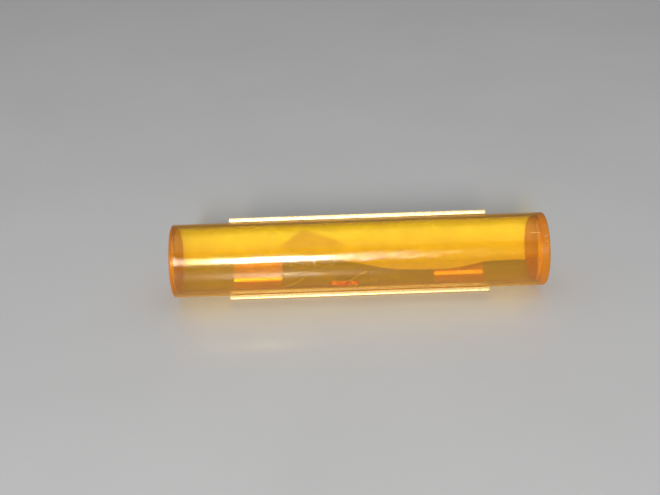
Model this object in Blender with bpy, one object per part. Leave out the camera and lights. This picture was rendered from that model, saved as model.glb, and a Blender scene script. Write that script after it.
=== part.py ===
"""Amber sample vial lying in a gold half-round cradle.

X runs along the vial, with its stopper at +X. The cradle's open side faces -Y and upwards.
It is one sheet, bent round the vial, with a window in its middle and a foot pressed flat.
The origin is at the bottom centre of the whole object, on the surface that it stands on.

Angles around the vial's axis are in degrees: 0 is the front (-Y), 90 the top, 180 the back
and 270 the bottom.
"""

import math
import random

import bmesh
import bpy
from mathutils import Matrix, Vector

MM = 0.001

# Driving dimensions
VIAL_LENGTH = 51.0 * MM
TUBE_RADIUS = 5.0 * MM
TUBE_WALL = 0.4 * MM
CRADLE_LENGTH = 35.5 * MM
CRADLE_SHEET = 0.55 * MM
CRADLE_GAP = 0.1 * MM
FIT_GAP = 0.05 * MM
AROUND = 72

# Cradle
CRADLE_INNER = TUBE_RADIUS + CRADLE_GAP
CRADLE_OUTER = CRADLE_INNER + CRADLE_SHEET
CRADLE_TOP_EDGE = 120.0
CRADLE_FRONT_EDGE = 315.0
CRADLE_STEP = 5.0
CRADLE_RAIL = 35.0
WINDOW_LENGTH = 21.5 * MM
WINDOW_TOP = CRADLE_TOP_EDGE + CRADLE_RAIL
WINDOW_FRONT = CRADLE_FRONT_EDGE - CRADLE_RAIL
FOOT_BACK = 250.0
FOOT_FRONT = 285.0
FOOT_DEPTH = CRADLE_OUTER + 0.1 * MM
BOTTOM = 270.0

# Vial
BORE_RADIUS = TUBE_RADIUS - TUBE_WALL
BASE_FLANGE = 0.3 * MM
BASE_SPIGOT = 0.4 * MM
STOPPER_FLANGE = 1.1 * MM
STOPPER_SPIGOT = 0.6 * MM
SPIGOT_RADIUS = BORE_RADIUS - FIT_GAP
SPIGOT_LEAD = 0.2 * MM
RIM_CHAMFER = 0.12 * MM

# Paper slip, curled against the bore
SLIP_THICKNESS = 0.12 * MM
SLIP_OUTER = BORE_RADIUS - FIT_GAP
SLIP_INNER = SLIP_OUTER - SLIP_THICKNESS
SLIP_LENGTH = 48.5 * MM
SLIP_FRONT = 115.0
SLIP_BACK = 230.0
SLIP_STEP = 5.0

# Grains of the sample, heaped near the lowest line of the bore
GARNET_COUNT = 18
FLAKE_COUNT = 6
GRAIN_RADIUS = 0.21 * MM
FLAKE_RADIUS = 0.24 * MM
FLAKE_THICKNESS = 0.1 * MM
HEAP_CENTRE = -2.2 * MM
HEAP_HALF_LENGTH = 2.4 * MM
HEAP_HALF_WIDTH = 1.25 * MM
HEAP_ANGLE = 291.0
GRAIN_CLEARANCE = 0.08 * MM
GOLDEN_ANGLE = math.pi * (3.0 - math.sqrt(5.0))
GRAIN_SEED = 7

# The whole object is centred front to back on the origin, and stands on the foot
AXIS_Y = -(CRADLE_OUTER - TUBE_RADIUS) / 2.0
AXIS_Z = FOOT_DEPTH
VIAL_START = -VIAL_LENGTH / 2.0
VIAL_END = VIAL_LENGTH / 2.0


def clear_scene():
    for old in list(bpy.data.objects):
        bpy.data.objects.remove(old, do_unlink=True)


def make_material(name, colour, metallic, roughness, transmission=0.0):
    """A Principled material with one colour and finish."""
    made = bpy.data.materials.new(name)
    made.use_nodes = True
    shader = made.node_tree.nodes["Principled BSDF"]
    shader.inputs["Base Color"].default_value = (*colour, 1.0)
    shader.inputs["Metallic"].default_value = metallic
    shader.inputs["Roughness"].default_value = roughness
    shader.inputs["Transmission Weight"].default_value = transmission
    return made


def make_empty(name, place, parent=None):
    """A plain axis marker that moving pieces are parented to."""
    marker = bpy.data.objects.new(name, None)
    marker.location = place
    marker.parent = parent
    bpy.context.scene.collection.objects.link(marker)
    return marker


def around_axis(angle, radius):
    """Front-back and up-down offsets from the vial's axis."""
    turn = math.radians(angle)
    return -radius * math.cos(turn), radius * math.sin(turn)


def add_object(name, shape, material, parent):
    """Turn a finished bmesh into a named object with its faces pointing out."""
    bmesh.ops.recalc_face_normals(shape, faces=shape.faces)
    if shape.calc_volume(signed=True) < 0.0:
        bmesh.ops.reverse_faces(shape, faces=shape.faces)
    mesh = bpy.data.meshes.new(name)
    shape.to_mesh(mesh)
    shape.free()
    mesh.materials.append(material)
    made = bpy.data.objects.new(name, mesh)
    made.parent = parent
    bpy.context.scene.collection.objects.link(made)
    return made


def smooth(piece, sharp_above=30.0):
    """Shade a round piece smooth, apart from its real edges."""
    piece.data.shade_smooth()
    piece.data.set_sharp_from_angle(angle=math.radians(sharp_above))


def turned_solid(name, profile, material, parent):
    """Turn a profile of (x, radius) points about the vial's axis.

    A profile that starts and ends at radius 0 makes a plug, and any other closes on itself
    and makes a tube.
    """
    shape = bmesh.new()
    rings = []
    for x, radius in profile:
        if radius == 0.0:
            continue
        ring = []
        for step in range(AROUND):
            y, z = around_axis(step * 360.0 / AROUND, radius)
            ring.append(shape.verts.new((x, y, z)))
        rings.append(ring)
    is_plug = profile[0][1] == 0.0
    pairs = list(zip(rings, rings[1:]))
    if is_plug:
        shape.faces.new(rings[0])
        shape.faces.new(rings[-1])
    else:
        pairs.append((rings[-1], rings[0]))
    for ring, following in pairs:
        for step in range(AROUND):
            beside = (step + 1) % AROUND
            shape.faces.new((ring[step], ring[beside], following[beside], following[step]))
    made = add_object(name, shape, material, parent)
    smooth(made)
    return made


def stations(first, last, step):
    """Angles from first to last, both included."""
    count = round((last - first) / step)
    return [first + index * step for index in range(count + 1)]


def shell_solid(name, xs, angles, inner, outer, is_solid, material, parent):
    """A curved sheet made of cells, with walls wherever a solid cell meets an empty one.

    xs and angles are the cells' borders. inner and outer give the radius at an angle, and
    is_solid says whether the cell between two borders is there.
    """
    shape = bmesh.new()
    corners = {}

    def corner(column, row, side):
        key = (column, row, side)
        if key not in corners:
            radius = (inner, outer)[side](angles[row])
            y, z = around_axis(angles[row], radius)
            corners[key] = shape.verts.new((xs[column], y, z))
        return corners[key]

    def there(column, row):
        inside = 0 <= column < len(xs) - 1 and 0 <= row < len(angles) - 1
        return inside and is_solid(xs[column:column + 2], angles[row:row + 2])

    def wall(one, two):
        shape.faces.new((corner(*one, 0), corner(*two, 0), corner(*two, 1), corner(*one, 1)))

    for column in range(len(xs) - 1):
        for row in range(len(angles) - 1):
            if not there(column, row):
                continue
            loop = ((column, row), (column + 1, row), (column + 1, row + 1), (column, row + 1))
            for side in (0, 1):
                shape.faces.new([corner(*place, side) for place in loop])
            neighbours = ((column, row - 1), (column + 1, row), (column, row + 1), (column - 1, row))
            for edge, neighbour in enumerate(neighbours):
                if not there(*neighbour):
                    wall(loop[edge], loop[(edge + 1) % 4])
    made = add_object(name, shape, material, parent)
    smooth(made)
    return made


def sheet_face(radius, foot_depth):
    """The sheet's radius at an angle: round, but flat along the foot."""

    def radius_at(angle):
        if FOOT_BACK <= angle <= FOOT_FRONT:
            return foot_depth / math.cos(math.radians(angle - BOTTOM))
        return radius

    return radius_at


def make_cradle(material, parent):
    """Half-round sheet with a window between two rails and a foot along its underside."""
    half = CRADLE_LENGTH / 2.0
    window = WINDOW_LENGTH / 2.0

    def is_solid(x_pair, angle_pair):
        within_length = x_pair[0] >= -window and x_pair[1] <= window
        within_arc = angle_pair[0] >= WINDOW_TOP and angle_pair[1] <= WINDOW_FRONT
        return not (within_length and within_arc)

    return shell_solid(
        "cradle",
        [-half, -window, window, half],
        stations(CRADLE_TOP_EDGE, CRADLE_FRONT_EDGE, CRADLE_STEP),
        sheet_face(CRADLE_INNER, FOOT_DEPTH - CRADLE_SHEET),
        sheet_face(CRADLE_OUTER, FOOT_DEPTH),
        is_solid,
        material,
        parent,
    )


def make_vial_tube(material, parent):
    """Thin-walled straight tube, open at both ends."""
    start = VIAL_START + BASE_FLANGE + FIT_GAP
    end = VIAL_END - STOPPER_FLANGE - FIT_GAP
    profile = [
        (start, BORE_RADIUS),
        (start, TUBE_RADIUS - RIM_CHAMFER),
        (start + RIM_CHAMFER, TUBE_RADIUS),
        (end - RIM_CHAMFER, TUBE_RADIUS),
        (end, TUBE_RADIUS - RIM_CHAMFER),
        (end, BORE_RADIUS),
    ]
    return turned_solid("vial_tube", profile, material, parent)


def make_plug(name, outer_end, inward, flange, spigot, material, parent):
    """Flanged plug: inward is +1 or -1, the way from its outer face into the tube."""
    shoulder = outer_end + inward * flange
    tip = shoulder + inward * spigot
    profile = [
        (outer_end, 0.0),
        (outer_end, TUBE_RADIUS - RIM_CHAMFER),
        (outer_end + inward * RIM_CHAMFER, TUBE_RADIUS),
        (shoulder - inward * RIM_CHAMFER, TUBE_RADIUS),
        (shoulder, TUBE_RADIUS - RIM_CHAMFER),
        (shoulder, SPIGOT_RADIUS),
        (tip - inward * SPIGOT_LEAD, SPIGOT_RADIUS),
        (tip, SPIGOT_RADIUS - SPIGOT_LEAD),
        (tip, 0.0),
    ]
    return turned_solid(name, profile, material, parent)


def make_paper_slip(material, parent):
    """Blank slip of paper, curled against the back of the bore."""
    free_start = VIAL_START + BASE_FLANGE + BASE_SPIGOT
    free_end = VIAL_END - STOPPER_FLANGE - STOPPER_SPIGOT
    middle = (free_start + free_end) / 2.0
    return shell_solid(
        "paper_slip",
        [middle - SLIP_LENGTH / 2.0, middle + SLIP_LENGTH / 2.0],
        stations(SLIP_FRONT, SLIP_BACK, SLIP_STEP),
        lambda angle: SLIP_INNER,
        lambda angle: SLIP_OUTER,
        lambda x_pair, angle_pair: True,
        material,
        parent,
    )


def heap_place(index, count):
    """Even spacing over an oval on the floor of the bore: x, and the angle around the axis."""
    reach = math.sqrt((index + 0.5) / count)
    turn = index * GOLDEN_ANGLE
    x = HEAP_CENTRE + HEAP_HALF_LENGTH * reach * math.cos(turn)
    across = HEAP_HALF_WIDTH * reach * math.sin(turn)
    return x, HEAP_ANGLE + math.degrees(across / SLIP_INNER)


def convex_grain(points):
    """The closed convex solid around a set of points."""
    shape = bmesh.new()
    for point in points:
        shape.verts.new(point)
    bmesh.ops.convex_hull(shape, input=shape.verts)
    return shape


def garnet_points(radius):
    """Corners of a rhombic dodecahedron, the form that garnet crystals grow in."""
    short = radius / 2.0
    points = [Vector((x, y, z)) * short for x in (-1, 1) for y in (-1, 1) for z in (-1, 1)]
    for axis in range(3):
        for sign in (-1.0, 1.0):
            tip = Vector((0.0, 0.0, 0.0))
            tip[axis] = sign * radius
            points.append(tip)
    return points


def flake_points(radius, dice):
    """Corners of a thin, uneven plate."""
    sides = 7
    points = []
    for side in range(sides):
        turn = 2.0 * math.pi * side / sides
        reach = radius * dice.uniform(0.75, 1.0)
        for height in (-FLAKE_THICKNESS / 2.0, FLAKE_THICKNESS / 2.0):
            points.append(Vector((reach * math.cos(turn), reach * math.sin(turn), height)))
    return points


def make_grain(name, points, turn, x, angle, reach, material, parent):
    """Place one grain just inside the bore, clear of the slip's inner face."""
    y, z = around_axis(angle, SLIP_INNER - GRAIN_CLEARANCE - reach)
    place = Matrix.Translation((x, y, z)) @ turn
    return add_object(name, convex_grain([place @ point for point in points]), material, parent)


def make_sample(garnet, gold, parent):
    """The pinch of garnet grains and gold flakes."""
    dice = random.Random(GRAIN_SEED)
    count = GARNET_COUNT + FLAKE_COUNT
    every = count // FLAKE_COUNT
    for index in range(count):
        x, angle = heap_place(index, count)
        lying = Matrix.Rotation(math.radians(BOTTOM - angle), 4, "X")
        spin = Matrix.Rotation(dice.uniform(0.0, math.pi), 4, "Z")
        if index % every == every - 1:
            number = index // every + 1
            points = flake_points(FLAKE_RADIUS, dice)
            make_grain(f"gold_flake_{number}", points, lying @ spin, x, angle,
                       FLAKE_THICKNESS / 2.0, gold, parent)
        else:
            number = index - index // every + 1
            radius = GRAIN_RADIUS * dice.uniform(0.8, 1.0)
            tilt = Matrix.Rotation(dice.uniform(0.0, math.pi), 4, "Y")
            make_grain(f"garnet_grain_{number:02d}", garnet_points(radius), spin @ tilt, x, angle,
                       GRAIN_RADIUS, garnet, parent)


def main():
    clear_scene()
    gold_plate = make_material("gold_plate", (0.9, 0.6, 0.16), 1.0, 0.28)
    amber = make_material("amber_polymer", (0.85, 0.42, 0.02), 0.0, 0.12, transmission=0.8)
    stopper_amber = make_material("stopper_polymer", (0.75, 0.2, 0.02), 0.0, 0.25, transmission=0.4)
    paper = make_material("slip_paper", (0.95, 0.74, 0.08), 0.0, 0.8)
    garnet = make_material("garnet", (0.5, 0.08, 0.03), 0.0, 0.25)
    native_gold = make_material("native_gold", (0.95, 0.6, 0.15), 1.0, 0.35)

    axis = make_empty("vial_axis", (0.0, AXIS_Y, AXIS_Z))
    stopper_axis = make_empty("stopper_axis", (0.0, 0.0, 0.0), parent=axis)
    make_cradle(gold_plate, axis)
    make_vial_tube(amber, axis)
    make_plug("base_plug", VIAL_START, 1.0, BASE_FLANGE, BASE_SPIGOT, stopper_amber, axis)
    make_plug("stopper", VIAL_END, -1.0, STOPPER_FLANGE, STOPPER_SPIGOT, stopper_amber, stopper_axis)
    make_paper_slip(paper, axis)
    make_sample(garnet, native_gold, axis)


main()
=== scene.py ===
"""Looks of an amber sample vial lying in its gold half-round cradle.

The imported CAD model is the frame: every size and place below is worked out from it. Angles
around the vial's axis are in degrees: 0 is the front (-Y), 90 the top, 180 the back and 270
the bottom. Lengths are in metres.
"""

import math

import bmesh
import bpy
from mathutils import Matrix, Vector, noise


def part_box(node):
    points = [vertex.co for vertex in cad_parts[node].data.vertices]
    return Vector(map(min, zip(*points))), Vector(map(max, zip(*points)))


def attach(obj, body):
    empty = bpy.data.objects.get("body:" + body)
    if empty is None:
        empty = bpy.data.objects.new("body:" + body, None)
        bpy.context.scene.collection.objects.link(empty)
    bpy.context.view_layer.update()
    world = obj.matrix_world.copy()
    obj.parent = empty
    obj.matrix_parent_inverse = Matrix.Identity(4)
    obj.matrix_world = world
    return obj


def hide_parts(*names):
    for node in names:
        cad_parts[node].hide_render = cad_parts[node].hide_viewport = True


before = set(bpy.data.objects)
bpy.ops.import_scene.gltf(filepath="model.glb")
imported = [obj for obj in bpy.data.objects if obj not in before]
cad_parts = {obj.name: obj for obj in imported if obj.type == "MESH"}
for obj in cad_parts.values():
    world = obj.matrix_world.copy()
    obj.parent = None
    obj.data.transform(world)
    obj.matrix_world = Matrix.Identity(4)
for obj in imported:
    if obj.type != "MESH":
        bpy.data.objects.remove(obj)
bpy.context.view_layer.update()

MM = 0.001

# Sizes read from the frame
TUBE_LOW, TUBE_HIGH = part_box("vial_tube")
BASE_LOW, BASE_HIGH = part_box("base_plug")
STOPPER_LOW, STOPPER_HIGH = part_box("stopper")
SLIP_LOW, SLIP_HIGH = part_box("paper_slip")
CRADLE_LOW, CRADLE_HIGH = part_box("cradle")
AXIS_Y = (TUBE_LOW.y + TUBE_HIGH.y) / 2.0
AXIS_Z = (TUBE_LOW.z + TUBE_HIGH.z) / 2.0
TUBE_RADIUS = (TUBE_HIGH.z - TUBE_LOW.z) / 2.0
VIAL_LENGTH = STOPPER_HIGH.x - BASE_LOW.x
VIAL_MIDDLE = (STOPPER_HIGH.x + BASE_LOW.x) / 2.0
CRADLE_OUTER = CRADLE_HIGH.y - AXIS_Y
FOOT_DEPTH = AXIS_Z - CRADLE_LOW.z

# The vial's wall and fits
TUBE_WALL = 0.08 * TUBE_RADIUS
BORE_RADIUS = TUBE_RADIUS - TUBE_WALL
FIT_GAP = 0.01 * TUBE_RADIUS
HAIRLINE = 0.1 * FIT_GAP
BASE_FLANGE = TUBE_LOW.x - BASE_LOW.x - FIT_GAP
STOPPER_FLANGE = STOPPER_HIGH.x - TUBE_HIGH.x - FIT_GAP
SPIGOT_RADIUS = BORE_RADIUS - FIT_GAP
ROUND_SIDES = 224

# The cradle's sheet
CRADLE_SHEET = 0.11 * TUBE_RADIUS
CRADLE_INNER = CRADLE_OUTER - CRADLE_SHEET
CRADLE_TOP_EDGE = 120.0
CRADLE_FRONT_EDGE = 315.0
CRADLE_RAIL = 35.0
WINDOW_TOP = CRADLE_TOP_EDGE + CRADLE_RAIL
WINDOW_FRONT = CRADLE_FRONT_EDGE - CRADLE_RAIL
WINDOW_HALF = 2.15 * TUBE_RADIUS
FOOT_BACK = 250.0
FOOT_FRONT = 285.0
BOTTOM = 270.0

# The slip and the sample, with centres as (x, angle)
SLIP_OUTER = BORE_RADIUS - 0.4 * FIT_GAP
SLIP_THICKNESS = 0.018 * TUBE_RADIUS
SLIP_TOP_EDGE = 112.0
SLIP_LOWER_EDGE = 218.0
SLIP_DENT = Vector((-7.5 * MM, 176.0))
HEAP_CENTRE = Vector((-2.2 * MM, 298.0))
HEAP_HALF_LENGTH = 2.3 * MM
HEAP_HALF_ANGLE = 16.0
HEAP_CLEARANCE = 0.34 * MM

# Creases sharper than this many degrees stay sharp in the shading
TUBE_CREASE = 6.0
PLUG_CREASE = 40.0
SLIP_CREASE = 50.0
CRADLE_CREASE = 60.0

# The studio
LAMP_DISTANCE = 10.0 * VIAL_LENGTH
FLOOR_REACH = 12.0 * VIAL_LENGTH
CAMERA_ELEVATION = math.radians(30.0)
CAMERA_ROLL = math.radians(2.0)
CAMERA_DISTANCE = 2.73 * VIAL_LENGTH
AIM_LEFT = 0.0772 * VIAL_LENGTH
AIM_UP = 0.0198 * VIAL_LENGTH


def mix(low, high, share):
    """Straight blend from low to high."""
    return low + (high - low) * share


def ease(low, high, value):
    """0 below low, 1 above high, and a smooth rise between them."""
    share = min(max((value - low) / (high - low), 0.0), 1.0)
    return share * share * (3.0 - 2.0 * share)


def around(x, angle, radius):
    """The point at an angle and radius around the vial's axis."""
    turn = math.radians(angle)
    return Vector((x, AXIS_Y - radius * math.cos(turn), AXIS_Z + radius * math.sin(turn)))


# ---------------------------------------------------------------- node trees


class NodeBuilder:
    """A node tree being built: short ways to add nodes to it and join them."""

    def __init__(self, tree):
        self.tree = tree

    def feed(self, socket, value):
        """Join another node's output to a socket, or set the socket to a plain value."""
        if isinstance(value, bpy.types.NodeSocket):
            self.tree.links.new(value, socket)
        else:
            socket.default_value = value

    def node(self, kind, inputs=None, **settings):
        """Add a node. inputs holds plain values or other nodes' outputs, by socket."""
        made = self.tree.nodes.new(kind)
        for name, value in settings.items():
            setattr(made, name, value)
        for key, value in (inputs or {}).items():
            self.feed(made.inputs[key], value)
        return made

    def maths(self, operation, one, two):
        return self.node("ShaderNodeMath", {0: one, 1: two}, operation=operation).outputs[0]


# ---------------------------------------------------------------- materials


class Finish(NodeBuilder):
    """A material being built."""

    def __init__(self, name):
        self.material = bpy.data.materials.new(name)
        self.material.use_nodes = True
        super().__init__(self.material.node_tree)
        self.tree.nodes.clear()
        self.output = self.node("ShaderNodeOutputMaterial")

    def place(self, stretch=(1.0, 1.0, 1.0)):
        """Object coordinates centred on the vial's axis, stretched along each axis."""
        where = self.node("ShaderNodeTexCoord").outputs["Object"]
        to_axis = (0.0, -AXIS_Y, -AXIS_Z)
        centred = self.node("ShaderNodeMapping", {"Vector": where, "Location": to_axis}).outputs[0]
        return self.node("ShaderNodeMapping", {"Vector": centred, "Scale": stretch}).outputs[0]

    def noise(self, scale, stretch=(1.0, 1.0, 1.0), detail=4.0, roughness=0.55, distortion=0.0):
        """Noise with scale features for each metre."""
        made = self.node(
            "ShaderNodeTexNoise",
            {"Vector": self.place(stretch), "Scale": scale, "Detail": detail, "Roughness": roughness,
             "Distortion": distortion},
        )
        return made.outputs["Fac"]

    def spots(self, scale, size, stretch=(1.0, 1.0, 1.0)):
        """1 in small round spots, one for each cell of the pattern, and 0 between them."""
        cells = self.node("ShaderNodeTexVoronoi", {"Vector": self.place(stretch), "Scale": scale})
        return self.spread(cells.outputs["Distance"], size, 0.5 * size, 0.0, 1.0)

    def spread(self, value, from_low, from_high, to_low, to_high):
        """Map one range of values to another, held at both ends."""
        made = self.node(
            "ShaderNodeMapRange",
            {"Value": value, "From Min": from_low, "From Max": from_high, "To Min": to_low,
             "To Max": to_high},
        )
        return made.outputs[0]

    def vary(self, pattern, low, high):
        """From low to high, following the values that noise mostly has."""
        return self.spread(pattern, 0.3, 0.7, low, high)

    def mark(self, name):
        """A number stored at each of the piece's points."""
        return self.node("ShaderNodeAttribute", attribute_name=name).outputs["Fac"]

    def colours(self, value, stops):
        """A colour ramp through (place, colour) stops."""
        made = self.node("ShaderNodeValToRGB", {"Fac": value})
        ramp = made.color_ramp
        while len(ramp.elements) < len(stops):
            ramp.elements.new(0.5)
        for element, (where, colour) in zip(ramp.elements, stops):
            element.position = where
            element.color = (*colour, 1.0)
        return made.outputs["Color"]

    def dimmed(self, pattern, colour, share):
        """A colour, falling to a share of it where the pattern is high."""
        dim = tuple(share * part for part in colour)
        return self.colours(pattern, [(0.3, colour), (0.75, dim)])

    def mingle(self, share, one, two):
        """Blend a node's colour towards another one, given as a plain colour."""
        return self.node("ShaderNodeMix", {0: share, 6: one, 7: (*two, 1.0)}, data_type="RGBA").outputs[2]

    def bump(self, height, depth, normal=None):
        """A normal that follows height, whose full range stands depth metres proud."""
        inputs = {"Height": height, "Distance": depth, "Strength": 1.0}
        if normal is not None:
            inputs["Normal"] = normal
        return self.node("ShaderNodeBump", inputs).outputs[0]

    def surface(self, inputs):
        """A shader with these inputs."""
        return self.node("ShaderNodeBsdfPrincipled", inputs).outputs[0]

    def blend(self, share, one, two):
        """Mix two shaders."""
        return self.node("ShaderNodeMixShader", {0: share, 1: one, 2: two}).outputs[0]

    def finish(self, shader):
        """Close the tree with this shader and return its material."""
        self.feed(self.output.inputs["Surface"], shader)
        return self.material


def amber_finish(name, clear, edge_on, haze_colour, deep, haze):
    """Tinted clear plastic with a hazy body, a scuffed gloss and fine dust.

    clear is what a wall lets through, edge_on the same where it is seen edge on. haze is the
    share that its body scatters in haze_colour; where it is seen edge on or is solid the
    share is larger and the colour is deep. Light from lamps passes with the clear tint, so
    that what is inside is lit.
    """
    scuff_depth, grit_depth, sway_depth = 0.003 * MM, 0.04 * MM, 0.02 * MM
    refraction = 1.45
    made = Finish(name)
    turned_lines = made.noise(900.0, stretch=(6.0, 0.35, 0.35), detail=3.0)
    scuffs = made.noise(2600.0, stretch=(0.08, 1.0, 1.0), detail=4.0, roughness=0.7)
    grit = made.noise(3600.0, detail=2.0)
    sway = made.noise(220.0, detail=2.0)
    patches = made.noise(260.0, detail=3.0)
    tone = made.noise(180.0, stretch=(0.4, 1.0, 1.0))
    dust = made.spots(1900.0, 0.1)
    even = made.bump(sway, sway_depth)
    lined = made.bump(turned_lines, scuff_depth, made.bump(grit, grit_depth))
    scuffed = made.bump(scuffs, scuff_depth, lined)

    facing = made.node("ShaderNodeLayerWeight", {"Blend": 0.5}).outputs["Facing"]
    limb = made.spread(facing, 0.5, 0.8, 0.0, 1.0)
    solid = made.mark("solid")
    tint = made.mingle(limb, made.dimmed(tone, clear, 0.96), edge_on)
    glass = made.surface(
        {"Base Color": tint, "Roughness": made.spread(patches, 0.35, 0.7, 0.04, 0.12), "IOR": refraction,
         "Transmission Weight": 1.0, "Coat Weight": 0.55, "Coat Roughness": 0.03, "Coat Normal": scuffed,
         "Normal": even}
    )
    thin_haze = made.dimmed(tone, haze_colour, 0.85)
    cloudy = made.mingle(made.maths("MAXIMUM", limb, solid), thin_haze, deep)
    body = made.surface(
        {"Base Color": cloudy, "Roughness": made.spread(patches, 0.35, 0.7, 0.3, 0.45), "IOR": refraction,
         "Normal": scuffed}
    )

    limb_haze, solid_haze = made.maths("MULTIPLY", limb, 0.8), made.maths("MULTIPLY", solid, 0.5)
    dense = made.maths("MAXIMUM", limb_haze, solid_haze)
    patchy_haze = made.spread(patches, 0.3, 0.75, 0.8 * haze, 1.2 * haze)
    dusty = made.maths("MULTIPLY", dust, made.spread(patches, 0.5, 0.65, 0.0, 0.55))
    share = made.maths("MAXIMUM", dusty, made.maths("ADD", patchy_haze, dense))
    seen = made.blend(share, glass, body)
    one_face = tuple(math.sqrt(part) for part in clear)
    lamps = made.node("ShaderNodeBsdfTransparent", {"Color": (*one_face, 1.0)}).outputs[0]
    is_lamp_ray = made.node("ShaderNodeLightPath").outputs["Is Shadow Ray"]
    return made.finish(made.blend(is_lamp_ray, seen, lamps))


def gold_plate_finish():
    """Satin gold plating under lacquer, on drawn sheet with lengthways draw lines, with a painted
    highlight on its sawn edges.
    """
    draw_depth, pit_depth = 0.006 * MM, 0.035 * MM
    # Pale, nearly white edge colour: partly the sawn metal's own paler colour, partly a painted highlight
    saw_cut_and_painted_highlight = (1.0, 0.88, 0.55)
    made = Finish("gold_plate")
    draw_lines = made.noise(2400.0, stretch=(0.03, 1.0, 1.0), detail=5.0, roughness=0.7)
    pits = made.noise(5200.0, detail=2.0, roughness=0.7)
    tarnish = made.noise(240.0, stretch=(0.5, 1.0, 1.0), detail=5.0, roughness=0.6)
    sawn = made.mark("sawn")
    coarse = made.maths("MULTIPLY", pits, made.spread(sawn, 0.0, 1.0, 0.4, 1.0))
    relief = made.bump(coarse, pit_depth, made.bump(draw_lines, draw_depth))
    gold = made.colours(
        tarnish,
        [(0.25, (0.9, 0.54, 0.1)), (0.5, (0.99, 0.67, 0.18)), (0.8, (1.0, 0.73, 0.25))],
    )
    grains = made.spread(pits, 0.42, 0.58, 0.15, 0.9)
    # Painted highlight: grains along the sawn edges are painted paler, towards nearly white
    gold = made.mingle(made.maths("MULTIPLY", sawn, grains), gold, saw_cut_and_painted_highlight)
    rough = made.maths("ADD", made.vary(draw_lines, 0.24, 0.38), made.vary(tarnish, 0.08, 0.0))
    duller = made.maths("ADD", rough, 0.1)
    plate = made.surface({"Base Color": gold, "Metallic": 1.0, "Roughness": rough, "Normal": relief})
    lacquer = made.surface({"Base Color": gold, "Roughness": duller, "Normal": relief})
    lacquer_share = made.spread(tarnish, 0.35, 0.7, 0.45, 0.28)
    return made.finish(made.blend(lacquer_share, plate, lacquer))


def paper_finish():
    """Plain uncoated paper, a little mottled, with a fibrous surface, and painted shade that turns it
    darker and browner.
    """
    fibre_depth = 0.012 * MM
    made = Finish("slip_paper")
    mottle = made.noise(420.0, detail=4.0)
    fibres = made.noise(3600.0, stretch=(1.0, 0.3, 0.3), detail=6.0, roughness=0.75, distortion=0.6)
    relief = made.bump(fibres, fibre_depth)
    # Mottle plus the slip's painted shade and peaked mark; the ramp turns them darker and browner
    mottle_and_painted_shade = made.maths("ADD", made.vary(mottle, 0.06, 0.0), made.maths("MULTIPLY", made.mark("painted_shade_and_mark"), 0.9))
    cream = made.colours(
        mottle_and_painted_shade,
        [(0.0, (0.99, 0.97, 0.92)), (0.6, (0.78, 0.62, 0.45)), (1.0, (0.6, 0.42, 0.28))],
    )
    front = made.surface(
        {"Base Color": cream, "Roughness": made.vary(fibres, 0.75, 0.95), "Specular IOR Level": 0.2,
         "Normal": relief}
    )
    return made.finish(front)


def garnet_finish():
    """Glassy crystals, from dark red to orange by each grain's own tone."""
    flaw_depth = 0.006 * MM
    made = Finish("garnet")
    flaws = made.noise(9000.0, detail=3.0)
    red = made.colours(
        made.mark("tone"),
        [(0.0, (0.15, 0.004, 0.002)), (0.3, (0.75, 0.02, 0.01)),
         (0.6, (1.0, 0.18, 0.02)), (1.0, (1.0, 0.55, 0.15))],
    )
    crystal = made.surface(
        {"Base Color": red, "Roughness": made.vary(flaws, 0.04, 0.3), "IOR": 1.76, "Coat Weight": 0.6,
         "Coat Roughness": 0.05, "Normal": made.bump(flaws, flaw_depth)}
    )
    return made.finish(crystal)


def native_gold_finish():
    """Hammered and water-worn natural gold."""
    dent_depth = 0.01 * MM
    made = Finish("native_gold")
    dents = made.noise(7000.0, detail=4.0)
    gold = made.colours(dents, [(0.3, (1.0, 0.55, 0.12)), (0.7, (1.0, 0.72, 0.25))])
    flake = made.surface(
        {"Base Color": gold, "Metallic": 1.0, "Roughness": made.vary(dents, 0.18, 0.4),
         "Normal": made.bump(dents, dent_depth)}
    )
    return made.finish(flake)


def lint_finish():
    """A stray textile fibre, paler and darker along its length."""
    made = Finish("lint")
    along = made.noise(2500.0, detail=2.0)
    colour = made.colours(along, [(0.3, (0.9, 0.62, 0.2)), (0.7, (1.0, 0.86, 0.5))])
    return made.finish(made.surface({"Base Color": colour, "Roughness": made.vary(along, 0.35, 0.6)}))


def dust_finish():
    """Pale household dust, from tan to nearly white by each speck's own tone."""
    made = Finish("dust")
    speckle = made.noise(9000.0, detail=2.0)
    colour = made.colours(made.mark("tone"), [(0.0, (0.8, 0.68, 0.45)), (1.0, (1.0, 0.98, 0.92))])
    return made.finish(made.surface({"Base Color": colour, "Roughness": made.vary(speckle, 0.3, 0.7)}))


def floor_finish():
    """Pale studio board with a satin sheen."""
    made = Finish("floor")
    cloud = made.noise(30.0, detail=3.0)
    pale = made.colours(cloud, [(0.3, (0.7, 0.7, 0.7)), (0.7, (0.73, 0.73, 0.73))])
    return made.finish(made.surface({"Base Color": pale, "Roughness": made.vary(cloud, 0.16, 0.2)}))


# ---------------------------------------------------------------- mesh helpers


def put_in_scene(name, data):
    """A new object in the scene, for a mesh, curve, light or camera."""
    made = bpy.data.objects.new(name, data)
    bpy.context.scene.collection.objects.link(made)
    return made


def link_mesh(name, mesh, material):
    """An object with a mesh that has one material."""
    mesh.materials.clear()
    mesh.materials.append(material)
    return put_in_scene(name, mesh)


def mesh_from(name, shape):
    """A mesh from a finished bmesh, which is freed."""
    mesh = bpy.data.meshes.new(name)
    shape.to_mesh(mesh)
    shape.free()
    return mesh


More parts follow.
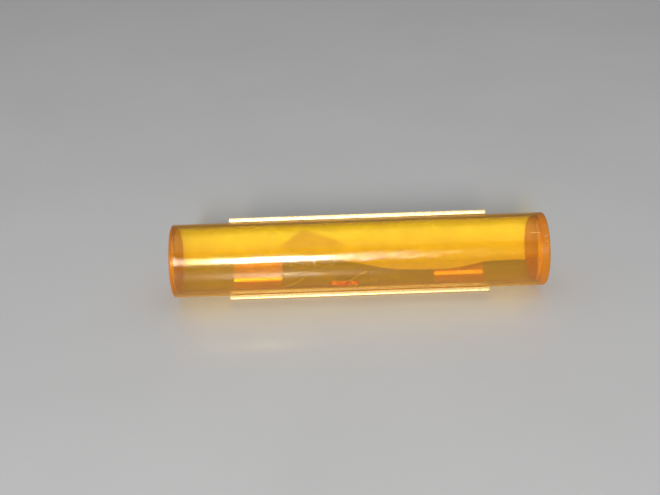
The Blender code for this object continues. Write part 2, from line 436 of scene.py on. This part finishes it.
def object_from_bmesh(name, shape, material):
    """A smooth-shaded object from a finished bmesh, with its faces turned outwards."""
    bmesh.ops.recalc_face_normals(shape, faces=shape.faces)
    if shape.calc_volume(signed=True) < 0.0:
        bmesh.ops.reverse_faces(shape, faces=shape.faces)
    made = link_mesh(name, mesh_from(name, shape), material)
    made.data.shade_smooth()
    return made


def keep_creases(piece, sharper_than):
    """Shade a piece smooth but for its creases sharper than this many degrees."""
    piece.data.set_sharp_from_angle(angle=math.radians(sharper_than))


def mark_points(piece, name, value_at):
    """Store value_at(x, angle) under a name at each of a piece's points."""
    mark = piece.data.attributes.new(name, "FLOAT", "POINT")
    for vertex in piece.data.vertices:
        place = vertex.co
        angle = math.degrees(math.atan2(place.z - AXIS_Z, AXIS_Y - place.y)) % 360.0
        mark.data[vertex.index].value = value_at(place.x, angle)


def keep_evaluated(piece):
    """Replace a piece's modifiers by the mesh that they make."""
    bpy.context.view_layer.update()
    seen = piece.evaluated_get(bpy.context.evaluated_depsgraph_get())
    mesh = bpy.data.meshes.new_from_object(seen)
    piece.modifiers.clear()
    old = piece.data
    piece.data = mesh
    if isinstance(old, bpy.types.Mesh):
        bpy.data.meshes.remove(old)
    mesh.name = piece.name
    return piece


def sheet_piece(name, columns, rows, corner, is_there, material):
    """A sheet of cells with real thickness.

    corner(column, row, side) gives a grid corner's place on side 0 or 1 of the sheet, and
    is_there(column, row) says whether the cell above that corner exists.
    """
    shape = bmesh.new()
    corners = {}

    def vertex(column, row, side):
        key = (column, row, side)
        if key not in corners:
            corners[key] = shape.verts.new(corner(column, row, side))
        return corners[key]

    def there(column, row):
        return 0 <= column < columns and 0 <= row < rows and is_there(column, row)

    for column in range(columns):
        for row in range(rows):
            if not there(column, row):
                continue
            loop = ((column, row), (column + 1, row), (column + 1, row + 1), (column, row + 1))
            shape.faces.new([vertex(*place, 0) for place in loop])
            shape.faces.new([vertex(*place, 1) for place in reversed(loop)])
            neighbours = ((column, row - 1), (column + 1, row), (column, row + 1), (column - 1, row))
            for edge, neighbour in enumerate(neighbours):
                if not there(*neighbour):
                    one, two = loop[edge], loop[(edge + 1) % 4]
                    shape.faces.new((vertex(*two, 0), vertex(*one, 0), vertex(*one, 1), vertex(*two, 1)))
    return object_from_bmesh(name, shape, material)


def soften_edges(piece, width, sharper_than=50.0):
    """Round a piece's real edges with a bevel and keep the result."""
    bevel = piece.modifiers.new("edges", "BEVEL")
    bevel.width = width
    bevel.segments = 2
    bevel.limit_method = "ANGLE"
    bevel.angle_limit = math.radians(sharper_than)
    bevel.harden_normals = False
    keep_evaluated(piece)


def arc_points(centre, radius, start, end, count):
    """Points (x, r) on an arc, with angles in degrees from +x towards +r."""
    points = []
    for step in range(count + 1):
        turn = math.radians(mix(start, end, step / count))
        points.append((centre[0] + radius * math.cos(turn), centre[1] + radius * math.sin(turn)))
    return points


def turned_piece(name, profile, material):
    """Turn an open (x, r) profile, from the axis and back to it, about the vial's axis."""
    shape = bmesh.new()
    rings = []
    for x, radius in profile:
        sides = ROUND_SIDES if radius > 0.0 else 1
        places = [around(x, step * 360.0 / sides, radius) for step in range(sides)]
        rings.append([shape.verts.new(place) for place in places])
    for ring, following in zip(rings, rings[1:]):
        for step in range(ROUND_SIDES):
            beside = (step + 1) % ROUND_SIDES
            loop = [ring[step % len(ring)], ring[beside % len(ring)],
                    following[beside % len(following)], following[step % len(following)]]
            shape.faces.new(list(dict.fromkeys(loop)))
    return object_from_bmesh(name, shape, material)


# ---------------------------------------------------------------- geometry nodes


class NodeShape(NodeBuilder):
    """A geometry node tree being built, with named inputs."""

    def __init__(self, name):
        super().__init__(bpy.data.node_groups.new(name, "GeometryNodeTree"))
        self.tree.is_modifier = True
        for way in ("INPUT", "OUTPUT"):
            self.tree.interface.new_socket("Geometry", in_out=way, socket_type="NodeSocketGeometry")
        self.entry = self.node("NodeGroupInput")
        self.exit = self.node("NodeGroupOutput")
        self.identifiers = {}

    def input(self, name, kind="NodeSocketFloat"):
        """Add a named input and return its output socket inside the tree."""
        socket = self.tree.interface.new_socket(name, in_out="INPUT", socket_type=kind)
        self.identifiers[name] = socket.identifier
        return self.entry.outputs[name]

    def close(self, geometry, material_socket):
        """End the tree in Realize Instances and Set Material."""
        real = self.node("GeometryNodeRealizeInstances", {"Geometry": geometry}).outputs[0]
        painted = self.node("GeometryNodeSetMaterial", {"Geometry": real, "Material": material_socket})
        self.feed(self.exit.inputs["Geometry"], painted.outputs[0])
        return self

    def apply(self, piece, values):
        """Run the tree on a piece with these inputs, and keep the mesh that it makes."""
        modifier = piece.modifiers.new(self.tree.name, "NODES")
        modifier.node_group = self.tree
        for name, value in values.items():
            modifier[self.identifiers[name]] = value
        return keep_evaluated(piece)


def turned_wall_tree():
    """A round wall of constant section with rounded rims, turned about X."""
    shape = NodeShape("turned_wall")
    radius = shape.input("Radius")
    wall = shape.input("Wall")
    length = shape.input("Length")
    rim_round = shape.input("Rim Round")
    sides = shape.input("Sides", "NodeSocketInt")
    place = shape.input("Place", "NodeSocketVector")
    material = shape.input("Material", "NodeSocketMaterial")
    middle = shape.maths("SUBTRACT", radius, shape.maths("MULTIPLY", wall, 0.5))
    path = shape.node("GeometryNodeCurvePrimitiveCircle", {"Resolution": sides, "Radius": middle})
    section = shape.node("GeometryNodeCurvePrimitiveQuadrilateral", {"Width": wall, "Height": length})
    rounded = shape.node(
        "GeometryNodeFilletCurve",
        {"Curve": section.outputs[0], "Count": 4, "Radius": rim_round, "Limit Radius": True},
        mode="POLY",
    )
    wall_mesh = shape.node(
        "GeometryNodeCurveToMesh", {"Curve": path.outputs[0], "Profile Curve": rounded.outputs[0]}
    )
    quarter_turn = (0.0, math.radians(90.0), 0.0)
    laid = shape.node(
        "GeometryNodeTransform",
        {"Geometry": wall_mesh.outputs[0], "Translation": place, "Rotation": quarter_turn},
    )
    smooth = shape.node("GeometryNodeSetShadeSmooth", {"Geometry": laid.outputs[0]})
    return shape.close(smooth.outputs[0], material)


def grain_tree():
    """Scatter uneven grains over a patch, more of them where its weight is high."""
    shape = NodeShape("scattered_grains")
    density = shape.input("Density")
    smallest = shape.input("Smallest")
    largest = shape.input("Largest")
    flatness = shape.input("Flatness")
    lift = shape.input("Lift")
    seed = shape.input("Seed", "NodeSocketInt")
    material = shape.input("Material", "NodeSocketMaterial")
    weight = shape.node("GeometryNodeInputNamedAttribute", {"Name": "weight"}, data_type="FLOAT")
    points = shape.node(
        "GeometryNodeDistributePointsOnFaces",
        {"Mesh": shape.entry.outputs["Geometry"],
         "Density": shape.maths("MULTIPLY", density, weight.outputs[0]), "Seed": seed},
    )
    rise = shape.node(
        "FunctionNodeRandomValue", {"Min": (0.0, 0.0, 0.0), "Max": (0.0, 0.0, 1.0), "Seed": seed},
        data_type="FLOAT_VECTOR",
    )
    raised = shape.node("ShaderNodeVectorMath", {0: rise.outputs[0], "Scale": lift}, operation="SCALE")
    settled = shape.node(
        "GeometryNodeSetPosition", {"Geometry": points.outputs["Points"], "Offset": raised.outputs[0]}
    )
    crystal = shape.node("GeometryNodeMeshIcoSphere", {"Radius": 1.0, "Subdivisions": 1})
    squashed = shape.node("ShaderNodeCombineXYZ", {"X": 1.0, "Y": 0.85, "Z": flatness})
    form = shape.node(
        "GeometryNodeTransform", {"Geometry": crystal.outputs[0], "Scale": squashed.outputs[0]}
    )
    full_turn = (6.28, 6.28, 6.28)
    turn = shape.node(
        "FunctionNodeRandomValue", {"Min": (0.0, 0.0, 0.0), "Max": full_turn, "Seed": seed},
        data_type="FLOAT_VECTOR",
    )
    size = shape.node(
        "FunctionNodeRandomValue", {"Min": smallest, "Max": largest, "Seed": seed}, data_type="FLOAT"
    )
    grains = shape.node(
        "GeometryNodeInstanceOnPoints",
        {"Points": settled.outputs[0], "Instance": form.outputs[0], "Rotation": turn.outputs[0],
         "Scale": size.outputs[1]},
    )
    tone = shape.node("FunctionNodeRandomValue", {"Seed": seed}, data_type="FLOAT")
    toned = shape.node(
        "GeometryNodeStoreNamedAttribute",
        {"Geometry": grains.outputs[0], "Name": "tone", "Value": tone.outputs[1]},
        data_type="FLOAT",
        domain="INSTANCE",
    )
    return shape.close(toned.outputs[0], material)


# ---------------------------------------------------------------- the vial


def make_vial_tube(amber):
    """Thin straight tube between the two flanges."""
    start = BASE_LOW.x + BASE_FLANGE + HAIRLINE
    end = STOPPER_HIGH.x - STOPPER_FLANGE - HAIRLINE
    blank = link_mesh("amber_tube", bpy.data.meshes.new("amber_tube"), amber)
    tube = turned_wall_tree().apply(
        blank,
        {"Radius": TUBE_RADIUS, "Wall": TUBE_WALL, "Length": end - start, "Rim Round": 0.1 * TUBE_WALL,
         "Sides": ROUND_SIDES, "Place": ((start + end) / 2.0, AXIS_Y, AXIS_Z), "Material": amber},
    )
    keep_creases(tube, TUBE_CREASE)
    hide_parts("vial_tube")
    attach(tube, "vial")


def plug_profile(outer_end, inward, flange, tip, rim):
    """Outline of a flanged plug, from the middle of its outer face to the middle of its tip.

    It is drawn from the outer face at 0 towards the tip, then laid along inward, +1 or -1.
    """
    length = abs(tip - outer_end)
    lead = 0.01 * TUBE_RADIUS
    dish = 0.012 * TUBE_RADIUS
    fine = 0.006 * TUBE_RADIUS
    outline = [(dish, share * TUBE_RADIUS) for share in (0.0, 0.1, 0.35, 0.6, 0.8)]
    outline.append((0.0, 0.88 * TUBE_RADIUS))
    outline += arc_points((rim, TUBE_RADIUS - rim), rim, 180.0, 90.0, 6)
    outline += [(rim + fine, TUBE_RADIUS), (flange - 2.0 * fine, TUBE_RADIUS)]
    outline += arc_points((flange - fine, TUBE_RADIUS - fine), fine, 90.0, 0.0, 2)
    outline += [(flange, SPIGOT_RADIUS), (length - lead, SPIGOT_RADIUS), (length, SPIGOT_RADIUS - lead)]
    outline += [(length, 0.5 * SPIGOT_RADIUS), (length, 0.0)]
    return [(outer_end + inward * x, radius) for x, radius in outline]


def mark_solid(piece, outer_end, flange, tip):
    """Mark a plug's flange as solid, fading to nothing at its tip."""
    length = abs(tip - outer_end)
    mark_points(piece, "solid", lambda x, angle: ease(length, flange, abs(x - outer_end)))


def make_plug(name, outer_end, inward, flange, tip, rim, plug_amber):
    """One plug, from its outer end to its tip."""
    plug = turned_piece(name, plug_profile(outer_end, inward, flange, tip, rim), plug_amber)
    keep_creases(plug, PLUG_CREASE)
    mark_solid(plug, outer_end, flange, tip)
    return plug


def make_plugs(plug_amber):
    """The fixed disc in the base and the stopper, which have rims of their own roundness."""
    base_rim, stopper_rim = 0.035 * TUBE_RADIUS, 0.05 * TUBE_RADIUS
    base = make_plug("base_disc", BASE_LOW.x, 1.0, BASE_FLANGE, BASE_HIGH.x, base_rim, plug_amber)
    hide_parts("base_plug")
    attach(base, "vial")
    stopper = make_plug(
        "push_in_stopper", STOPPER_HIGH.x, -1.0, STOPPER_FLANGE, STOPPER_LOW.x, stopper_rim, plug_amber
    )
    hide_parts("stopper")
    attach(stopper, "closure")


def slip_lower_edge(x):
    """Angle of the slip's lower edge, which wanders because it was rolled a little askew."""
    along = (x - SLIP_LOW.x) / (SLIP_HIGH.x - SLIP_LOW.x)
    sag = 25.0 * ease(0.43, 0.64, along)
    recovery = 12.0 * ease(0.76, 0.9, along)
    ripple = 1.2 * math.sin(17.0 * along + 1.0)
    return SLIP_LOWER_EDGE + (sag - recovery) + ripple


def slip_dent(x, angle):
    """How far a soft dent pushes the slip off the wall."""
    depth, half_length, half_angle = 0.55 * MM, 2.6 * MM, 13.0
    beside = (x - SLIP_DENT.x) / half_length
    across = (angle - SLIP_DENT.y) / half_angle
    return depth * math.exp(-0.5 * (beside * beside + across * across))


def slip_painted_shade_and_mark(x, angle):
    """Painted shade on the slip, darker and darker towards its lower edge, and a darker peaked mark beside
    the dent.
    """
    peak_angle, peak_fall = 150.0, 34.0
    half_length = 3.4 * MM if x < SLIP_DENT.x else 5.4 * MM
    beside = abs(x - SLIP_DENT.x) / half_length
    crest = peak_angle + peak_fall * beside ** 1.25
    peaked = 0.75 * ease(crest - 6.0, crest + 9.0, angle) * ease(1.5, 1.0, beside)
    # Painted shade: darker and darker towards the slip's lower edge
    shade_towards_edge = 0.85 * ease(160.0, 212.0, angle)
    shade_at_edge = 0.35 * ease(205.0, 245.0, angle)
    return max(peaked, shade_towards_edge) + shade_at_edge


def make_slip(paper):
    """Blank slip curled against the back of the bore."""
    columns, rows = 160, 48
    length = SLIP_HIGH.x - SLIP_LOW.x
    fray_step, fray_angle = 0.5 * MM, 0.5
    wave_step, wave_turn, wave_height = 5.0 * MM, 25.0, 0.05 * MM

    def corner(column, row, side):
        x = SLIP_LOW.x + length * column / columns
        fray = fray_angle * noise.noise(Vector((x / fray_step, 3.0, 0.0)))
        angle = mix(SLIP_TOP_EDGE, slip_lower_edge(x) + fray, row / rows)
        wave = wave_height * (1.0 + noise.noise(Vector((x / wave_step, angle / wave_turn, 7.0))))
        radius = SLIP_OUTER - wave - slip_dent(x, angle) - side * SLIP_THICKNESS
        return around(x, angle, radius)

    slip = sheet_piece("curled_slip", columns, rows, corner, lambda column, row: True, paper)
    # Store the painted shade and the peaked mark at the slip's points, for its paper colour
    mark_points(slip, "painted_shade_and_mark", slip_painted_shade_and_mark)
    keep_creases(slip, SLIP_CREASE)
    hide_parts("paper_slip")
    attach(slip, "vial")


def patch(name, centre, half_length, half_angle, radius):
    """A part of a round surface that bits lie on, weighted towards its middle."""
    columns, rows = 26, 14
    shape = bmesh.new()
    weight = shape.verts.layers.float.new("weight")
    grid = []
    for column in range(columns + 1):
        line = []
        for row in range(rows + 1):
            across, along = 2.0 * row / rows - 1.0, 2.0 * column / columns - 1.0
            x = centre.x + along * half_length
            angle = centre.y + across * half_angle
            spot = shape.verts.new(around(x, angle, radius))
            ragged = 0.35 * noise.noise(Vector((3.0 * along, 3.0 * across, 1.0)))
            spot[weight] = ease(1.0, 0.55, math.hypot(along, across) + ragged)
            line.append(spot)
        grid.append(line)
    for line, following in zip(grid, grid[1:]):
        for row in range(rows):
            shape.faces.new((line[row], following[row], following[row + 1], line[row + 1]))
    return put_in_scene(name, mesh_from(name, shape))


def sample_nodes(start):
    """Names of the CAD nodes that begin with start."""
    return sorted(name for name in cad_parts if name.startswith(start))


def make_sample(garnet, native_gold):
    """The pinch of grains: garnet sand with a few gold flakes among it."""
    tree = grain_tree()
    sand_radius = SLIP_OUTER - SLIP_THICKNESS - HEAP_CLEARANCE
    fleck_radius = sand_radius - 0.05 * MM
    fleck_share = 0.9
    sand = tree.apply(
        patch("garnet_sand", HEAP_CENTRE, HEAP_HALF_LENGTH, HEAP_HALF_ANGLE, sand_radius),
        {"Density": 4.5e7, "Smallest": 0.09 * MM, "Largest": 0.21 * MM, "Flatness": 0.8, "Lift": 0.55 * MM,
         "Seed": 4, "Material": garnet},
    )
    flakes = tree.apply(
        patch("gold_flecks", HEAP_CENTRE, fleck_share * HEAP_HALF_LENGTH, fleck_share * HEAP_HALF_ANGLE,
              fleck_radius),
        {"Density": 1.1e7, "Smallest": 0.07 * MM, "Largest": 0.17 * MM, "Flatness": 0.25, "Lift": 0.6 * MM,
         "Seed": 11, "Material": native_gold},
    )
    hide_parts(*sample_nodes("garnet_grain"))
    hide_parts(*sample_nodes("gold_flake"))
    for piece, slot in ((sand, "garnet"), (flakes, "native_gold")):
        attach(piece, "sample")


def make_fibre(name, places, reach, radius, lint):
    """A stray fibre through (x, angle) places, reach from the axis, with x in millimetres."""
    curve = bpy.data.curves.new(name, "CURVE")
    curve.dimensions = "3D"
    curve.bevel_depth = radius
    curve.bevel_resolution = 2
    curve.use_fill_caps = True
    curve.resolution_u = 8
    spline = curve.splines.new("BEZIER")
    spline.bezier_points.add(len(places) - 1)
    for knot, (x, angle) in zip(spline.bezier_points, places):
        knot.co = around(x * MM, angle, reach)
        knot.handle_left_type = knot.handle_right_type = "AUTO"
    draft = put_in_scene(name, curve)
    bpy.context.view_layer.update()
    mesh = bpy.data.meshes.new_from_object(draft.evaluated_get(bpy.context.evaluated_depsgraph_get()))
    bpy.data.objects.remove(draft)
    made = link_mesh(name, mesh, lint)
    mesh.shade_smooth()
    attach(made, "vial")


def make_lint(lint):
    """Two fibres that cling to the inside of the bore, and a short one to the tube's outside."""
    thick, thin = 0.05 * MM, 0.02 * MM
    inside = BORE_RADIUS - 0.06 * MM
    fibres = (
        ("lint_fibre_1", ((-10.7, 279.0), (-9.4, 271.0), (-8.2, 259.0), (-7.7, 253.0)), inside, thick),
        ("lint_fibre_2", ((-1.9, 272.0), (-0.6, 258.0), (1.0, 243.0)), inside, thick),
        ("lint_fibre_3", ((22.9, 56.0), (24.2, 55.5)), TUBE_RADIUS, thin),
    )
    for name, places, reach, radius in fibres:
        make_fibre(name, places, reach, radius, lint)


def make_dust(name, body, dust, centre, half_length, half_angle, density, largest, seed):
    """Dust specks that cling to the outside of the vial."""
    specks = grain_tree().apply(
        patch(name, centre, half_length, half_angle, TUBE_RADIUS),
        {"Density": density, "Smallest": 0.25 * largest, "Largest": largest, "Flatness": 0.5, "Lift": 0.0,
         "Seed": seed, "Material": dust},
    )
    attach(specks, body)


def make_all_dust(dust):
    """Sparse dust over the tube's upper front, a dense streak of it, and some on the stopper."""
    upper_front = 35.0
    flange_middle = STOPPER_HIGH.x - 0.5 * STOPPER_FLANGE
    make_dust("tube_dust", "vial", dust, centre=Vector((-2.0 * MM, upper_front)), half_length=22.0 * MM,
              half_angle=75.0, density=2.4e5, largest=0.06 * MM, seed=3)
    make_dust("tube_grit", "vial", dust, centre=Vector((-9.5 * MM, 24.5)), half_length=15.5 * MM,
              half_angle=9.5, density=1.1e7, largest=0.085 * MM, seed=8)
    make_dust("stopper_dust", "closure", dust, centre=Vector((flange_middle, upper_front)),
              half_length=0.4 * STOPPER_FLANGE, half_angle=60.0, density=1.2e6, largest=0.08 * MM, seed=5)


# ---------------------------------------------------------------- the cradle


def pressed(radius, foot_depth, angle):
    """The sheet's radius at an angle: round, and pressed flat along the foot."""
    run_out = 5.0
    on_foot = min(max(angle, FOOT_BACK), FOOT_FRONT)
    flat = foot_depth / math.cos(math.radians(on_foot - BOTTOM))
    share = ease(FOOT_BACK - run_out, FOOT_BACK, angle) * ease(FOOT_FRONT + run_out, FOOT_FRONT, angle)
    return mix(radius, flat, share)


def sawn_share(x, angle):
    """1 at the cradle's two long cut edges, and 0 a little way from them."""
    margin = min(angle - CRADLE_TOP_EDGE, CRADLE_FRONT_EDGE - angle)
    return ease(1.8, 0.9, margin)


def make_cradle(gold):
    """One bent sheet with a central window between two rails, and ragged sawn edges."""
    half = (CRADLE_HIGH.x - CRADLE_LOW.x) / 2.0
    step_x, step_angle = 0.2 * MM, 2.5
    burr_step, outer_burr, inner_burr = 0.3 * MM, 0.04 * MM, 0.05 * MM
    notch_step, notch_angle = 0.33 * MM, 0.5
    edge_round = 0.03 * MM
    columns = 2 * round(half / step_x)
    rows = round((CRADLE_FRONT_EDGE - CRADLE_TOP_EDGE) / step_angle)
    window_columns = round(WINDOW_HALF / (half / (columns / 2)))
    first_open, last_open = columns // 2 - window_columns, columns // 2 + window_columns
    top_row = round((WINDOW_TOP - CRADLE_TOP_EDGE) / step_angle)
    front_row = round((WINDOW_FRONT - CRADLE_TOP_EDGE) / step_angle)

    def is_there(column, row):
        return not (first_open <= column < last_open and top_row <= row < front_row)

    def corner(column, row, side):
        x = -half + 2.0 * half * column / columns
        angle = mix(CRADLE_TOP_EDGE, CRADLE_FRONT_EDGE, row / rows)
        inner = pressed(CRADLE_INNER, FOOT_DEPTH - CRADLE_SHEET, angle)
        outer = pressed(CRADLE_OUTER, FOOT_DEPTH, angle)
        radius = outer if side else inner
        if row in (0, rows):
            ragged = noise.noise(Vector((x / burr_step, float(row), 5.0 * side)))
            radius += outer_burr * ragged if side else inner_burr * (ragged - 0.5)
            sawn = noise.noise(Vector((x / notch_step, 9.0 + 2.0 * side, float(row))))
            outwards = 1.0 if row else -1.0
            angle += outwards * notch_angle * (sawn - 0.6)
        return around(x, angle, radius)

    cradle = sheet_piece("gold_cradle", columns, rows, corner, is_there, gold)
    soften_edges(cradle, edge_round)
    keep_creases(cradle, CRADLE_CREASE)
    mark_points(cradle, "sawn", sawn_share)
    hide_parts("cradle")
    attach(cradle, "holder")


# ---------------------------------------------------------------- the studio


def make_floor():
    """A plain board under the cradle."""
    shape = bmesh.new()
    bmesh.ops.create_grid(shape, x_segments=1, y_segments=1, size=FLOOR_REACH)
    floor = link_mesh("floor", mesh_from("floor", shape), floor_finish())


def make_softbox(name, outline, azimuth, elevation, width, height, power):
    """A soft light aimed at the vial. An azimuth of 0 is in front and 90 to the right."""
    light = bpy.data.lights.new(name, "AREA")
    light.shape = outline
    light.size, light.size_y = width, height
    light.energy = power
    made = put_in_scene(name, light)
    turn, lift = math.radians(azimuth), math.radians(elevation)
    back = Vector((math.sin(turn) * math.cos(lift), -math.cos(turn) * math.cos(lift), math.sin(lift)))
    made.location = Vector((VIAL_MIDDLE, AXIS_Y, AXIS_Z)) + back * LAMP_DISTANCE
    made.rotation_mode = "QUATERNION"
    made.rotation_quaternion = (-back).to_track_quat("-Z", "Y")


def make_lights():
    """An oval key for the tube's long highlight, a broad overhead light and a dim sky."""
    make_softbox("key", "ELLIPSE", azimuth=-5.1, elevation=25.0, width=1.15 * VIAL_LENGTH,
                 height=2.4 * VIAL_LENGTH, power=1.8)
    make_softbox("overhead", "RECTANGLE", azimuth=0.0, elevation=88.0, width=15.0 * VIAL_LENGTH,
                 height=12.0 * VIAL_LENGTH, power=0.63)
    world = bpy.data.worlds.new("studio")
    world.use_nodes = True
    sky = world.node_tree.nodes["Background"]
    sky.inputs["Color"].default_value = (1.0, 1.0, 1.0, 1.0)
    sky.inputs["Strength"].default_value = 0.2
    bpy.context.scene.world = world
    bpy.context.scene.view_settings.view_transform = "Standard"


def make_camera():
    """A long look from the front and above, with the vial right of centre and tipped a little."""
    camera = bpy.data.cameras.new("camera")
    camera.sensor_width = 36.0
    camera.lens = 55.0
    camera.clip_start = 0.05 * VIAL_LENGTH
    camera.clip_end = 60.0 * VIAL_LENGTH
    made = put_in_scene("camera", camera)
    back = Vector((0.0, -math.cos(CAMERA_ELEVATION), math.sin(CAMERA_ELEVATION)))
    level = (-back).to_track_quat("-Z", "Y").to_matrix()
    aim = level @ Matrix.Rotation(-CAMERA_ROLL, 3, "Z")
    right, up = aim @ Vector((1.0, 0.0, 0.0)), aim @ Vector((0.0, 1.0, 0.0))
    target = Vector((VIAL_MIDDLE, AXIS_Y, AXIS_Z)) - AIM_LEFT * right + AIM_UP * up
    made.location = target + back * CAMERA_DISTANCE
    made.rotation_mode = "QUATERNION"
    made.rotation_quaternion = aim.to_quaternion()
    bpy.context.scene.camera = made


def main():
    amber = amber_finish(
        "amber_polymer",
        clear=(0.91, 0.75, 0.025),
        edge_on=(0.55, 0.2, 0.005),
        haze_colour=(0.36, 0.16, 0.004),
        deep=(0.88, 0.38, 0.004),
        haze=0.14,
    )
    plug_amber = amber_finish(
        "amber_plug",
        clear=(0.95, 0.77, 0.04),
        edge_on=(0.9, 0.5, 0.01),
        haze_colour=(1.0, 0.58, 0.01),
        deep=(0.72, 0.24, 0.004),
        haze=0.25,
    )
    make_camera()
    make_vial_tube(amber)
    make_plugs(plug_amber)
    make_slip(paper_finish())
    make_sample(garnet_finish(), native_gold_finish())
    make_lint(lint_finish())
    make_all_dust(dust_finish())
    make_cradle(gold_plate_finish())
    make_floor()
    make_lights()


main()
